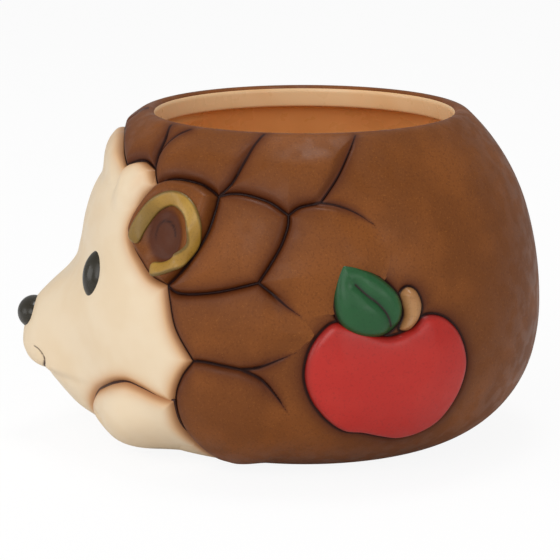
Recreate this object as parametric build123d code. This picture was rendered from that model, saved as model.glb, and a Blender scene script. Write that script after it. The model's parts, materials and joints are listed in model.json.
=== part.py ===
from build123d import *
import os
from math import asin, atan2, cos, degrees, exp, radians, sin, sqrt

# A hedgehog shaped cachepot. The round belly of the animal is the vessel, and the face, ears,
# paws, quill plates and the apple on the flank are clay parts seated face to face on it.
# Millimetres. The face looks along -Y, the animal's left side is +X, +Z is up.
# The model is built about the axis of the mouth and moved at the end, so that the middle
# of its length is at the origin. A share is a fraction of the size that it follows.

# Vessel
mouth_radius = 61.0
pot_height = 136.3
belly_radius = 97.2
belly_height = 56.5
foot_radius = 46.4
lip_outer_radius = 6.0
lip_inner_radius = 2.7
wall = 6.0
floor_thickness = 7.0
collar_depth = 8.5
foot_ring_width = 6.0
foot_recess = 2.0
shoulder_start_share = 0.653
shoulder_end_share = 1.912
corner_start_share = 0.330

# Flattened place on the front of the vessel, where the head sits
seat_depth = 5.5
seat_grow = 8.0
seat_top_share = 0.77
seat_bottom = 8.0

# Head
cheek_rise = 1.3
head_wall = 6.0
muzzle_depth = 27.2
head_side_angle = 72.0

# Quill plates
groove = 1.0
plate_rise = 3.0
plate_crown_radius = 52.0

# Ears
ear_rise = 5.5
ear_crown_radius = 34.0
ear_bowl_radius = 11.0
ear_bowl_depth = 4.0
ear_rim_radius = 16.6
ear_rim_rise = 1.2
ear_gap_start_angle = 200.0
ear_gap_end_angle = 252.0

# Eyes and nose
eye_length = 23.0
eye_thickness = 16.0
eye_rise = 3.0
eye_sink = 2.5
eye_lean_angle = 12.0
nose_length = 18.5
nose_thickness = 13.6
nose_sink = 1.5

# Forelocks
tuft_rise = 5.2
tuft_lift = 0.5
tuft_ring_radius = 70.0
tuft_bulge_radius = 22.0
side_tuft_rise = 3.2
side_tuft_crown_radius = 24.0

# Paws
paw_rise = 5.7
paw_ball_radius = 44.0
paw_ball_height = 26.0
claw_width = 1.2
claw_depth = 1.4

# Apple, leaf and stem
apple_width = 73.7
apple_height = 57.4
apple_offset = 4.5
apple_drop = -2.1
apple_rise = 3.6
apple_crown_radius = 70.0
leaf_width = 29.0
leaf_height = 34.0
leaf_offset = -6.5
leaf_lift = 36.2
leaf_rise = 5.5
leaf_crown_radius = 40.0
stem_width = 10.0
stem_height = 18.5
stem_offset = 11.8
stem_lift = 30.0
stem_rise = 5.0
stem_crown_radius = 22.0

# Cutting tools run past the solids by this much
overrun = 10.0

os.makedirs("parts", exist_ok=True)


def solve_pair(a, b, c, d, p, q):
    """Solves a x + b y = p and c x + d y = q."""
    determinant = a * d - b * c
    return (p * d - b * q) / determinant, (a * q - c * p) / determinant


# Outer profile: arcs that are tangent at the belly. Their angles are shares of how far the
# lip and the foot lean in from the belly, and their radii follow from the sizes above.
lip_radius_at_top = mouth_radius + lip_inner_radius
lip_height = pot_height - lip_outer_radius
collar_height = pot_height - collar_depth
seat_top = belly_height + seat_top_share * (pot_height - belly_height)
lip_lean_angle = degrees(atan2(belly_radius - lip_radius_at_top, lip_height - belly_height))
foot_lean_angle = degrees(atan2(belly_radius - foot_radius, belly_height))
shoulder_start_angle = shoulder_start_share * lip_lean_angle
shoulder_end_angle = shoulder_end_share * lip_lean_angle
corner_start_angle = corner_start_share * foot_lean_angle
start = radians(shoulder_start_angle)
end = radians(shoulder_end_angle)
corner = radians(corner_start_angle)
flank_radius, shoulder_radius = solve_pair(
    cos(start) - 1, cos(end) - cos(start),
    sin(start), sin(end) - sin(start),
    lip_radius_at_top - belly_radius + lip_outer_radius * cos(end),
    lip_height - belly_height + lip_outer_radius * sin(end))
lower_radius, corner_radius = solve_pair(
    1 - cos(corner), cos(corner),
    sin(corner), 1 - sin(corner),
    belly_radius - foot_radius,
    belly_height)


def arc_centres():
    """Centres (radius, height) and radii of the profile's arcs, from the foot to the lip."""
    flank = (belly_radius - flank_radius, belly_height)
    shoulder = (flank[0] + (flank_radius - shoulder_radius) * cos(start),
                flank[1] + (flank_radius - shoulder_radius) * sin(start))
    lower = (belly_radius - lower_radius, belly_height)
    base = (lower[0] + (lower_radius - corner_radius) * cos(corner),
            lower[1] - (lower_radius - corner_radius) * sin(corner))
    lip = (lip_radius_at_top, lip_height)
    return [(base, corner_radius), (lower, lower_radius), (flank, flank_radius),
            (shoulder, shoulder_radius), (lip, lip_outer_radius)]


def outer_radius(height):
    """Radius of the vessel's outside at a height."""
    base, lower, flank, shoulder, lip = arc_centres()
    if height < lower[0][1] - lower[1] * sin(corner):
        centre, radius = base
    elif height < belly_height:
        centre, radius = lower
    elif height < flank[0][1] + flank[1] * sin(start):
        centre, radius = flank
    elif height < shoulder[0][1] + shoulder[1] * sin(end):
        centre, radius = shoulder
    else:
        centre, radius = lip
    return centre[0] + sqrt(max(radius ** 2 - (height - centre[1]) ** 2, 0))


def on_arc(arc, angle, inset=0):
    """Point (radius, height) of a profile arc at an angle above the level, moved inwards."""
    (centre_radius, centre_height), radius = arc
    reach = radius - inset
    return (centre_radius + reach * cos(radians(angle)), centre_height + reach * sin(radians(angle)))


def profile_arc(arc, first, last, inset=0):
    """Edge along a profile arc between two angles."""
    halfway = (first + last) / 2
    return ThreePointArc(on_arc(arc, first, inset), on_arc(arc, halfway, inset), on_arc(arc, last, inset))


def side_edges(inset, last_angle):
    """Edges of the side from the foot to the shoulder, moved inwards."""
    base, lower, flank, shoulder, lip = arc_centres()
    return [
        profile_arc(base, -90, -corner_start_angle, inset),
        profile_arc(lower, -corner_start_angle, 0, inset),
        profile_arc(flank, 0, shoulder_start_angle, inset),
        profile_arc(shoulder, shoulder_start_angle, last_angle, inset),
    ]


def turned(edges):
    """Solid of revolution of edges drawn as (radius, height) that end on the axis."""
    ends = edges[0] @ 0, edges[-1] @ 1
    closed = [Line((0, ends[0].Y), ends[0])] if ends[0].X > 0 else []
    closed += edges
    if ends[1].X > 0:
        closed.append(Line(ends[1], (0, ends[1].Y)))
    closed.append(Line((0, ends[1].Y), (0, ends[0].Y)))
    return revolve(Plane.XZ * make_face(Wire(closed)), Axis.Z)


def grown(edges, amount):
    """The same edges further from the axis."""
    return [Pos(amount, 0) * edge for edge in edges]


def outer_edges():
    base, lower, flank, shoulder, lip = arc_centres()
    return side_edges(0, shoulder_end_angle) + [profile_arc(lip, shoulder_end_angle, 90)]


def inner_edges():
    """Edges of the hollow below the collar."""
    shoulder = arc_centres()[3]
    rise = (collar_height - shoulder[0][1]) / (shoulder[1] - wall)
    return side_edges(wall, degrees(asin(rise)))


def seat_side(edges, low, high):
    """What lies in front of the flattened place between two heights."""
    block_size = belly_radius + seat_grow + overrun
    block = Pos(0, -block_size / 2, low) * Box(
        2 * block_size, block_size, high - low, align=(Align.CENTER, Align.CENTER, Align.MIN))
    keep = Pos(0, seat_grow + seat_depth, 0) * turned(grown(edges, seat_grow))
    return block - keep


def make_envelope():
    """The vessel as if it were solid, with the seat for the head."""
    edges = outer_edges()
    return turned(edges) - seat_side(edges, seat_bottom, seat_top)


def shell_edges():
    """Section of the vessel's wall, from the foot over the lip and down the inside."""
    base, lower, flank, shoulder, lip = arc_centres()
    rounding = ((lip_radius_at_top, pot_height - lip_inner_radius), lip_inner_radius)
    shoulder_angle = degrees(asin((collar_height - shoulder[0][1]) / (shoulder[1] - wall)))
    floor_angle = -degrees(asin(min(1, (base[0][1] - floor_thickness) / (base[1] - wall))))
    inside = [
        profile_arc(shoulder, shoulder_angle, shoulder_start_angle, wall),
        profile_arc(flank, shoulder_start_angle, 0, wall),
        profile_arc(lower, 0, -corner_start_angle, wall),
        profile_arc(base, -corner_start_angle, floor_angle, wall),
    ]
    ring_radius = foot_radius - foot_ring_width
    mouth = profile_arc(rounding, 90, 180)
    collar = Line(mouth @ 1, (mouth_radius, collar_height))
    floor_edge = inside[-1] @ 1
    return outer_edges() + [mouth, collar, Line(collar @ 1, inside[0] @ 0)] + inside + [
        Line(floor_edge, (0, floor_edge.Y)), Line((0, floor_edge.Y), (0, foot_recess)),
        Line((0, foot_recess), (ring_radius, foot_recess)),
        Line((ring_radius, foot_recess), (ring_radius, 0)), Line((ring_radius, 0), (foot_radius, 0))]


def make_pot_shell():
    """The vessel. Behind the seat for the head its wall keeps its thickness."""
    shell = revolve(Plane.XZ * make_face(Wire(shell_edges())), Axis.Z)
    backing = turned(inner_edges()) & seat_side(inner_edges(), floor_thickness, seat_top + wall)
    return shell - seat_side(outer_edges(), seat_bottom, seat_top) + backing


def direction(azimuth, elevation):
    """Unit vector from the middle of the belly, by angles from the face and above the level."""
    around = radians(azimuth)
    up = radians(elevation)
    return Vector(sin(around) * cos(up), -cos(around) * cos(up), sin(up))


middle = Vector(0, 0, belly_height)
right_angle = 90
rim_angle = degrees(atan2(pot_height - belly_height, lip_radius_at_top))
foot_angle = degrees(atan2(belly_height, foot_radius))


def aim(azimuth_share, elevation_share):
    """Azimuth as a share of a right angle, and elevation as one of the rim's or the foot's."""
    limit = rim_angle if elevation_share > 0 else foot_angle
    return right_angle * azimuth_share, limit * elevation_share


class Place:
    """Where a piece is seated: a plane that touches a solid, square to a line from the middle."""

    def __init__(self, solid, azimuth_share, elevation_share):
        azimuth, elevation = aim(azimuth_share, elevation_share)
        self.normal = direction(azimuth, elevation)
        self.along = Vector(cos(radians(azimuth)), sin(radians(azimuth)), 0)
        self.up = self.normal.cross(self.along)
        ray = Edge.make_line(middle, middle + self.normal * 2 * (belly_radius + pot_height))
        ends = (ray & solid).vertices()
        self.distance = max((Vector(*end) - middle).length for end in ends)

    def plane_at(self, distance):
        """Plane square to the line, at a distance from the middle of the belly."""
        origin = middle + self.normal * distance
        return Plane(origin=origin, x_dir=self.along, z_dir=self.normal)

    def spot(self, shares):
        """Where a direction from the middle of the belly meets the touching plane."""
        ray = direction(*aim(*shares))
        stretch = self.distance / ray.dot(self.normal)
        return (ray.dot(self.along) * stretch, ray.dot(self.up) * stretch)

    def outline(self, names):
        """Face bounded by arcs. Names are a junction, a point on the arc, the next junction..."""
        spots = [self.spot(seam_shares.get(name, (0, 0))) for name in names]
        arcs = []
        for first in range(0, len(spots), 2):
            last = spots[(first + 2) % len(spots)]
            if names[first + 1] == "straight":
                arcs.append(Line(spots[first], last))
            else:
                arcs.append(ThreePointArc(spots[first], spots[first + 1], last))
        return make_face(Wire(arcs))

    def cone(self, face, inner_share=0.6, outer_share=1.3):
        """The face carried towards and away from the middle of the belly."""
        ends = [self.plane_at(self.distance * share) * scale(face, by=share)
                for share in (inner_share, outer_share)]
        return loft(ends, ruled=True)

    def crown(self, rise, radius):
        """Ball whose top stands over the touching plane by the rise."""
        centre = middle + self.normal * (self.distance + rise - radius)
        return Pos(*centre) * Sphere(radius)


# Junctions of the seams between the pieces on the left side, and a point on each seam's arc.
# First around from the face, as a share of a right angle, then up as a share of the rim's
# angle or down as one of the foot's, seen from the middle of the belly.
seam_shares = {
    "brow_top": (0.005, 0.960),
    "brow_front": (0.005, 0.898),
    "brow_edge": (0.175, 0.818),
    "brow_tip": (0.318, 0.732),
    "brow_tuft": (0.400, 0.781),
    "brow_corner": (0.471, 0.753),
    "brow_side": (0.449, 0.840),
    "brow_rim": (0.407, 0.960),
    "brow_rim_middle": (0.200, 0.963),
    "crown_tuft": (0.488, 0.714),
    "ear_top_front": (0.512, 0.679),
    "ear_top": (0.630, 0.725),
    "ear_top_rear": (0.745, 0.672),
    "crown_side": (0.788, 0.809),
    "crown_rim_rear": (0.838, 0.960),
    "crown_rim_middle": (0.670, 0.963),
    "crown_rim": (0.505, 0.960),
    "crown_front": (0.453, 0.854),
    "rear_rim_middle": (1.000, 0.963),
    "rear_rim": (1.178, 0.954),
    "rear_side": (1.099, 0.776),
    "rear_corner": (1.042, 0.658),
    "rear_low": (0.998, 0.644),
    "shoulder_corner": (0.951, 0.599),
    "shoulder_top": (0.850, 0.676),
    "shoulder_rear": (0.936, 0.459),
    "shoulder_rear_low": (0.877, 0.305),
    "shoulder_low": (0.745, 0.238),
    "shoulder_front": (0.620, 0.257),
    "ear_rear": (0.711, 0.460),
    "ear_front": (0.453, 0.469),
    "back_top": (1.130, 0.618),
    "back_end": (1.215, 0.522),
    "back_side": (1.222, 0.438),
    "back_fade": (1.190, 0.350),
    "back_low": (1.100, 0.210),
    "cheek_rear": (0.937, 0.238),
    "cheek_end": (0.998, 0.151),
    "cheek_side": (1.010, 0.082),
    "cheek_fade": (0.985, 0.014),
    "cheek_low": (0.925, -0.036),
    "chest_corner": (0.861, -0.089),
    "chest_top": (0.785, -0.084),
    "cheek_corner": (0.702, -0.068),
    "cheek_front": (0.640, 0.088),
    "chest_rear": (0.915, -0.192),
    "chest_end": (0.960, -0.324),
    "chest_side": (0.950, -0.480),
    "chest_fade": (0.890, -0.587),
    "chest_low": (0.770, -0.631),
    "chest_tip": (0.648, -0.601),
    "chest_front": (0.622, -0.338),
    "tuft_side": (0.505, 0.595),
    "tuft_side_low": (0.440, 0.525),
    "tuft_low": (0.370, 0.517),
    "tuft_crease_low": (0.300, 0.560),
    "tuft_crease": (0.305, 0.648),
    "tuft_centre_low": (0.000, 0.525),
    "tuft_crease_right": (-0.305, 0.648),
    "tuft_crease_low_right": (-0.300, 0.560),
    "brow_tip_right": (-0.318, 0.732),
    "brow_edge_right": (-0.175, 0.818),
    "tuft_top": (0.000, 0.902),
    "coat_low_front": (0.720, -0.765),
    "coat_low": (0.820, -0.854),
    "coat_rear_low": (1.000, -0.445),
    "coat_rear": (1.060, 0.000),
    "coat_rear_high": (1.000, 0.525),
    "coat_top": (0.850, 0.875),
    "paw_front_low": (0.160, -1.000),
    "paw_front": (0.155, -0.560),
    "paw_top_front": (0.262, -0.340),
    "paw_top": (0.400, -0.208),
    "paw_top_rear": (0.525, -0.218),
    "paw_corner": (0.596, -0.255),
    "paw_rear_top": (0.622, -0.320),
    "paw_rear": (0.622, -0.480),
    "paw_rear_low": (0.680, -1.000),
    "claw_top": (0.285, -0.470),
    "claw_low": (0.262, -0.760),
    "coat_top_front": (0.680, 0.823),
}

# Outline of each quill plate, the direction in which it bulges most, and how round it is there
# as a share of the radius that the plates have
plates = {
    "brow_plate": (("brow_top", "straight", "brow_front", "brow_edge", "brow_tip",
                    "brow_tuft", "brow_corner", "brow_side", "brow_rim", "brow_rim_middle"),
                   (0.240, 0.844), 1.00),
    "crown_plate": (("brow_corner", "crown_tuft", "ear_top_front", "ear_top", "ear_top_rear",
                     "crown_side", "crown_rim_rear", "crown_rim_middle", "crown_rim",
                     "crown_front"), (0.630, 0.805), 1.00),
    "crown_rear_plate": (("ear_top_rear", "shoulder_top", "shoulder_corner", "rear_low",
                          "rear_corner", "rear_side", "rear_rim", "rear_rim_middle",
                          "crown_rim_rear", "crown_side"), (0.930, 0.770), 1.00),
    "shoulder_plate": (("ear_top_rear", "ear_rear", "shoulder_front", "shoulder_low",
                        "shoulder_rear_low", "shoulder_rear", "shoulder_corner",
                        "shoulder_top"), (0.790, 0.459), 1.00),
    "back_plate": (("shoulder_corner", "shoulder_rear", "shoulder_rear_low", "cheek_rear",
                    "cheek_end", "back_low", "back_fade", "back_side", "back_end", "back_top",
                    "rear_corner", "rear_low"), (0.990, 0.473), 0.90),
    "cheek_plate": (("shoulder_front", "cheek_front", "cheek_corner", "chest_top",
                     "chest_corner", "cheek_low", "cheek_fade", "cheek_side", "cheek_end",
                     "cheek_rear", "shoulder_rear_low", "shoulder_low"), (0.780, 0.088), 1.00),
    "chest_plate": (("cheek_corner", "chest_front", "chest_tip", "chest_low", "chest_fade",
                     "chest_side", "chest_end", "chest_rear", "chest_corner", "chest_top"),
                    (0.760, -0.338), 0.80),
}
ear_outline = ("ear_top_front", "ear_front", "shoulder_front", "ear_rear", "ear_top_rear", "ear_top")
coat_outline = ("ear_top_front", "ear_front", "shoulder_front", "cheek_front", "cheek_corner",
                "chest_front", "chest_tip", "coat_low_front", "coat_low", "coat_rear_low",
                "coat_rear", "coat_rear_high", "coat_top", "coat_top_front")
side_tuft_outline = ("brow_tip", "brow_tuft", "brow_corner", "crown_tuft", "ear_top_front",
                     "tuft_side", "tuft_side_low", "tuft_low", "tuft_crease_low", "tuft_crease")
paw_outline = ("paw_front_low", "paw_front", "paw_top_front", "paw_top", "paw_top_rear", "paw_corner",
               "paw_rear_top", "paw_rear", "paw_rear_low", "straight")
centre_tuft_outline = ("brow_tip", "brow_edge", "tuft_top", "brow_edge_right", "brow_tip_right",
                       "tuft_crease_right", "tuft_crease_low_right", "tuft_centre_low",
                       "tuft_crease_low", "tuft_crease")

# The head's level sections: height as a share of the seat's height, depth in front of the
# seat as a share of the muzzle's depth, and half width of the snout as a share of the side angle
head_section_shares = [
    (0.000, 0.60, 0.36), (0.064, 0.68, 0.33), (0.127, 0.72, 0.29), (0.177, 0.76, 0.26),
    (0.209, 0.90, 0.23), (0.255, 1.00, 0.21), (0.327, 0.93, 0.20), (0.400, 0.79, 0.21),
    (0.459, 0.67, 0.23), (0.509, 0.47, 0.27), (0.564, 0.25, 0.34), (0.636, 0.13, 0.44),
    (0.745, 0.12, 0.50), (0.873, 0.11, 0.50), (1.000, 0.10, 0.50),
]
section_spread_shares = (0, 0.05, 0.11, 0.18, 0.27, 0.40, 0.58, 0.78, 1)
level_step_share = 0.045
hollow_shares = (0.06, 0.60)

# Outlines in the touching plane, as shares of the piece's width and height
apple_shares = [(-0.33, 0.50), (-0.455, 0.355), (-0.50, 0.12), (-0.43, -0.13), (-0.26, -0.36),
                (-0.10, -0.40), (0.06, -0.485), (0.26, -0.46), (0.425, -0.24), (0.50, 0.035),
                (0.445, 0.32), (0.315, 0.48), (0.18, 0.495), (0.06, 0.40), (-0.15, 0.51)]
leaf_front_shares = [(-0.40, 0.50), (-0.49, 0.20), (-0.44, -0.25), (-0.12, -0.49), (0.36, -0.43)]
leaf_rear_shares = [(0.36, -0.43), (0.50, -0.15), (0.34, 0.15), (0.00, 0.385), (-0.40, 0.50)]
stem_shares = [(-0.32, -0.42), (0.18, -0.45), (0.48, -0.10), (0.46, 0.28), (0.08, 0.50),
               (-0.40, 0.42), (-0.26, 0.05)]
apple_place_shares = (1.200, -0.158)
leaf_place_shares = (1.160, 0.236)
stem_place_shares = (1.275, 0.184)
eye_place_shares = (0.305, 0.219)
nose_place_shares = (0, -0.055)
ear_place_shares = (0.583, 0.480)
paw_place_shares = (0.420, -0.450)
coat_place_shares = (0.750, 0.000)
tuft_place_share = 0.735
side_tuft_place_shares = (0.400, 0.648)
apple_bulge_shares = (1.200, -0.231)


def section_point(height, depth, spread, side, inset):
    """Point of a level section of the head, at a share of the side angle from the face."""
    base = outer_radius(height) + cheek_rise
    reach = outer_radius(height) - seat_depth + depth * muzzle_depth
    radius = base + (reach - base) * exp(-(side / spread) ** 2) - inset
    around = radians(side * head_side_angle)
    return (radius * sin(around), -radius * cos(around))


def head_section(shares, inset):
    """A level section of the head: the front as one curve, the back as a straight line."""
    height_share, depth, spread = shares
    height = seat_bottom + height_share * (seat_top - seat_bottom)
    sides = [-side for side in reversed(section_spread_shares[1:])] + list(section_spread_shares)
    points = [section_point(height, depth, spread, side, inset) for side in sides]
    front = Spline(*points)
    return Pos(0, 0, height) * make_face(Wire([front, Line(points[-1], points[0])]))


def head_levels():
    """Rows of the table of sections, with rows worked out between those that lie far apart."""
    rows = [head_section_shares[0]]
    for row in head_section_shares[1:]:
        last = rows[-1]
        steps = max(1, round((row[0] - last[0]) / level_step_share))
        rows += [tuple(a + (b - a) * step / steps for a, b in zip(last, row))
                 for step in range(1, steps + 1)]
    return rows


def make_head_block(inset=0, lowest=0, highest=1):
    """The head as a solid that reaches back into the vessel."""
    rows = [row for row in head_levels() if lowest <= row[0] <= highest]
    return loft([head_section(row, inset) for row in rows], ruled=True)


def bead(length, thickness):
    """Rounded bead, longest along the level direction of its plane, round across it."""
    half = length / 2
    arc = EllipticalCenterArc((0, 0), half, thickness / 2, start_angle=0, arc_size=2 * right_angle)
    return revolve(make_face(Wire([arc, Line((-half, 0), (half, 0))])), Axis.X)


def both_sides(name, solid, pieces):
    """Keeps a left piece and its mirror image."""
    pieces[name + "_left"] = solid
    pieces[name + "_right"] = mirror(solid, Plane.YZ)


def make_plate(envelope, names, bulge_shares, round_share):
    place = Place(envelope, *bulge_shares)
    outline = offset(place.outline(names), -groove / 2)
    return place.cone(outline) & place.crown(plate_rise, plate_crown_radius * round_share)


def make_ear(envelope, head):
    """Brown cup, and the gold crescent that lies in it."""
    place = Place(envelope, *ear_place_shares)
    level = place.plane_at(place.distance)
    top = place.plane_at(place.distance + ear_rise)
    ball = place.crown(ear_rise, ear_crown_radius)
    outer_ball = place.crown(ear_rise + ear_rim_rise, ear_crown_radius + ear_rim_rise)
    cup = place.cone(offset(place.outline(ear_outline), -groove / 2)) & ball
    cup = cup - envelope - head
    bowl_ball_radius = (ear_bowl_radius ** 2 + ear_bowl_depth ** 2) / (2 * ear_bowl_depth)
    bowl = top * Pos(0, 0, bowl_ball_radius - ear_bowl_depth) * Sphere(bowl_ball_radius)
    cup = cup - bowl
    ring = Circle(ear_rim_radius) - Circle(ear_bowl_radius)
    corners = [(0, 0)]
    for angle in (ear_gap_start_angle, ear_gap_end_angle):
        corners.append((2 * ear_rim_radius * cos(radians(angle)), 2 * ear_rim_radius * sin(radians(angle))))
    gap = make_face(Polyline(*corners, close=True))
    crescent = level * extrude(ring - gap, ear_rise + ear_rim_rise + overrun)
    rim = (crescent & outer_ball) - cup - envelope - head - bowl
    return cup, rim


def make_paw(envelope):
    """Front paw of the left side: a cushion on the vessel with one claw line, flat on the ground."""
    place = Place(envelope, *paw_place_shares)
    ahead = direction(aim(*paw_place_shares)[0], 0)
    ball_reach = outer_radius(paw_ball_height) + paw_rise - paw_ball_radius
    ball_centre = ahead * ball_reach + Vector(0, 0, paw_ball_height)
    ball = Pos(*ball_centre) * Sphere(paw_ball_radius)
    core = Pos(*ball_centre) * Sphere(paw_ball_radius - claw_depth)
    slit = trace(Line(place.spot(seam_shares["claw_top"]), place.spot(seam_shares["claw_low"])), claw_width)
    ground = Box(4 * belly_radius, 4 * belly_radius, belly_height,
                 align=(Align.CENTER, Align.CENTER, Align.MAX))
    return (place.cone(place.outline(paw_outline)) & ball) - ground - (place.cone(slit) - core)


def shaped(points_shares, width, height):
    """Points of an outline in millimetres."""
    return [(x * width, y * height) for x, y in points_shares]


def make_relief(envelope):
    """Apple, leaf and stem. The leaf lies over the stem, and both lie over the apple."""
    place = Place(envelope, *apple_place_shares)
    apple_face = Pos(apple_offset, apple_drop) * make_face(
        Spline(*shaped(apple_shares, apple_width, apple_height), periodic=True))
    leaf_face = Pos(leaf_offset, leaf_lift) * make_face(Wire([
        Spline(*shaped(leaf_front_shares, leaf_width, leaf_height)),
        Spline(*shaped(leaf_rear_shares, leaf_width, leaf_height))]))
    stem_face = Pos(stem_offset, stem_lift) * make_face(
        Spline(*shaped(stem_shares, stem_width, stem_height), periodic=True))
    leaf_place = Place(envelope, *leaf_place_shares)
    stem_place = Place(envelope, *stem_place_shares)
    leaf_cone = place.cone(leaf_face)
    stem_cone = place.cone(stem_face)
    bulge = Place(envelope, *apple_bulge_shares)
    apple = place.cone(apple_face) & bulge.crown(apple_rise, apple_crown_radius)
    leaf = leaf_cone & leaf_place.crown(leaf_rise, leaf_crown_radius)
    stem = stem_cone & stem_place.crown(stem_rise, stem_crown_radius)
    apple = apple - leaf_cone - stem_cone - envelope
    stem = stem - leaf_cone - envelope
    return apple, leaf - envelope, stem


def make_tufts(envelope, head_block):
    """Forelocks: one over the middle of the forehead, one on each side of it."""
    place = Place(envelope, 0, tuft_place_share)
    tuft_height = seat_top + tuft_lift
    reach = outer_radius(tuft_height) - seat_depth + tuft_rise
    ring = Pos(0, tuft_ring_radius + tuft_bulge_radius - reach, tuft_height) * Torus(
        tuft_ring_radius, tuft_bulge_radius)
    centre = place.cone(offset(place.outline(centre_tuft_outline), -groove / 2)) & ring
    side_place = Place(head_block, *side_tuft_place_shares)
    side = side_place.cone(offset(side_place.outline(side_tuft_outline), -groove / 2))
    side = side & side_place.crown(side_tuft_rise, side_tuft_crown_radius)
    return centre, side


def main():
    pieces = {}
    envelope = make_envelope()
    pieces["pot_shell"] = make_pot_shell()
    head_block = make_head_block()
    coat_place = Place(envelope, *coat_place_shares)
    coat = coat_place.cone(coat_place.outline(coat_outline))
    face = head_block - envelope - coat - mirror(coat, Plane.YZ)
    head = face - make_head_block(head_wall, *hollow_shares)

    eye_place = Place(head_block, *eye_place_shares)
    eye_centre = eye_place.plane_at(eye_place.distance + eye_rise - eye_thickness / 2)
    eye_back = eye_place.plane_at(eye_place.distance - eye_sink) * extrude(
        Rectangle(2 * eye_length, 2 * eye_length), -eye_length)
    eye = eye_centre * Rot(0, 0, right_angle + eye_lean_angle) * bead(eye_length, eye_thickness) - eye_back
    nose_place = Place(head_block, *nose_place_shares)
    nose_centre = middle + nose_place.normal * (nose_place.distance - nose_sink)
    nose = Pos(*nose_centre) * bead(nose_length, nose_thickness)
    head = head - nose - eye - mirror(eye, Plane.YZ)
    pieces["head"] = head
    pieces["nose"] = nose
    both_sides("eye", eye, pieces)

    cup, rim = make_ear(envelope, face)
    both_sides("ear", cup, pieces)
    both_sides("ear_rim", rim, pieces)
    for name, plan in plates.items():
        both_sides(name, make_plate(envelope, *plan) - envelope - face, pieces)
    centre_tuft, side_tuft = make_tufts(envelope, head_block)
    pieces["tuft_centre"] = centre_tuft - face - envelope
    both_sides("tuft", side_tuft - face - envelope - cup - rim, pieces)
    both_sides("paw", make_paw(envelope) - envelope - face - pieces["chest_plate_left"], pieces)
    apple, leaf, stem = make_relief(envelope)
    pieces["apple"] = apple
    pieces["apple_leaf"] = leaf - pieces["back_plate_left"]
    pieces["apple_stem"] = stem

    length_middle = (nose.bounding_box().min.Y + belly_radius) / 2
    for name, solid in pieces.items():
        export_step(Pos(0, -length_middle, 0) * solid, f"parts/{name}.step")


main()
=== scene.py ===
import json
from math import asin, atan2, cos, degrees, radians, sin

import bmesh
import bpy
import numpy as np
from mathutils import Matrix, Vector
from mathutils.kdtree import KDTree


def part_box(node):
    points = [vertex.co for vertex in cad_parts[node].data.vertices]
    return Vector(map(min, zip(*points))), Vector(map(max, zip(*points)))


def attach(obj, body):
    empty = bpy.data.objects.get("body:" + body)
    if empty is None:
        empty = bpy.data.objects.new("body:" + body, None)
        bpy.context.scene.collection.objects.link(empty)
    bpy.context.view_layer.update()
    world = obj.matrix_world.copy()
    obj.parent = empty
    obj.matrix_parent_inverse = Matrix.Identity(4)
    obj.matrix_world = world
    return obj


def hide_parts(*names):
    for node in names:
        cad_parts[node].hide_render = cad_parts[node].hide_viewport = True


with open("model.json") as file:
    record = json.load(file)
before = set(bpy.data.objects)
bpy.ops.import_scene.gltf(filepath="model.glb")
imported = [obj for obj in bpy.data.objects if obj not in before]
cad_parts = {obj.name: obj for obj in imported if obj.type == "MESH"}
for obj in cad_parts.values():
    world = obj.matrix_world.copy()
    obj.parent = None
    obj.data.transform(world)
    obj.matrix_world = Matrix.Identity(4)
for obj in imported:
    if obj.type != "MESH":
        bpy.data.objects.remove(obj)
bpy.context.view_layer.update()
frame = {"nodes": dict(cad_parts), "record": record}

# A hedgehog shaped cachepot in glazed ceramic. The face looks along -Y, the left side is +X.
# Lengths are in millimetres about the axis of the mouth, and angles in degrees. A place on
# the belly is a pair: azimuth from the face towards the left side, and elevation above the
# level, both seen from the middle of the belly. Meshes are moved to the frame as they are made.
millimetre = 0.001
mouth = next(mount for mount in frame["record"]["mounts"] if mount["name"] == "mouth")
mouth_radius = mouth["dims"]["r_mm"]
axis_y = mouth["pos_m"][1]
shell_low, shell_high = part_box("pot_shell")
pot_height = shell_high[2] / millimetre
belly_radius = (shell_high[0] - shell_low[0]) / 2 / millimetre

# Section of the vessel
belly_height = 56.5
foot_radius = 46.4
lip_outer_radius = 6.0
lip_inner_radius = 2.7
wall = 6.0
floor_thickness = 7.0
collar_depth = 8.5
foot_ring_width = 6.0
foot_recess = 2.0
shoulder_start_share = 0.653
shoulder_end_share = 1.912
corner_start_share = 0.330
seat_depth = 5.5
seat_grow = 8.0
seat_top_share = 0.77

# Relief
groove_depth = 0.9
groove_width = 0.75
edge_rise = 1.7
edge_width = 1.3
edge_power = 1.4
dome_rise = 1.5
dome_width = 9.0
dome_power = 1.3
fade_width = 17.0
faded_sink = 0.02
steady_share = 0.25
under_piece = 2.6
under_face = 3.2
skirt_depth = 3.2
airbrush_width = 5.5

# Grain of the meshes
row_step = 0.6
column_angle = 0.42
rear_column_angle = 1.2
rear_start_angle = 140.0
seam_step = 0.42
ring_count = 34
ring_bias = 1.35
under_shares = (0.8, 0.55, 0.3)


# Vessel

def solve_pair(a, b, c, d, p, q):
    """Solves a x + b y = p and c x + d y = q."""
    determinant = a * d - b * c
    return (p * d - b * q) / determinant, (a * q - c * p) / determinant


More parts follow.
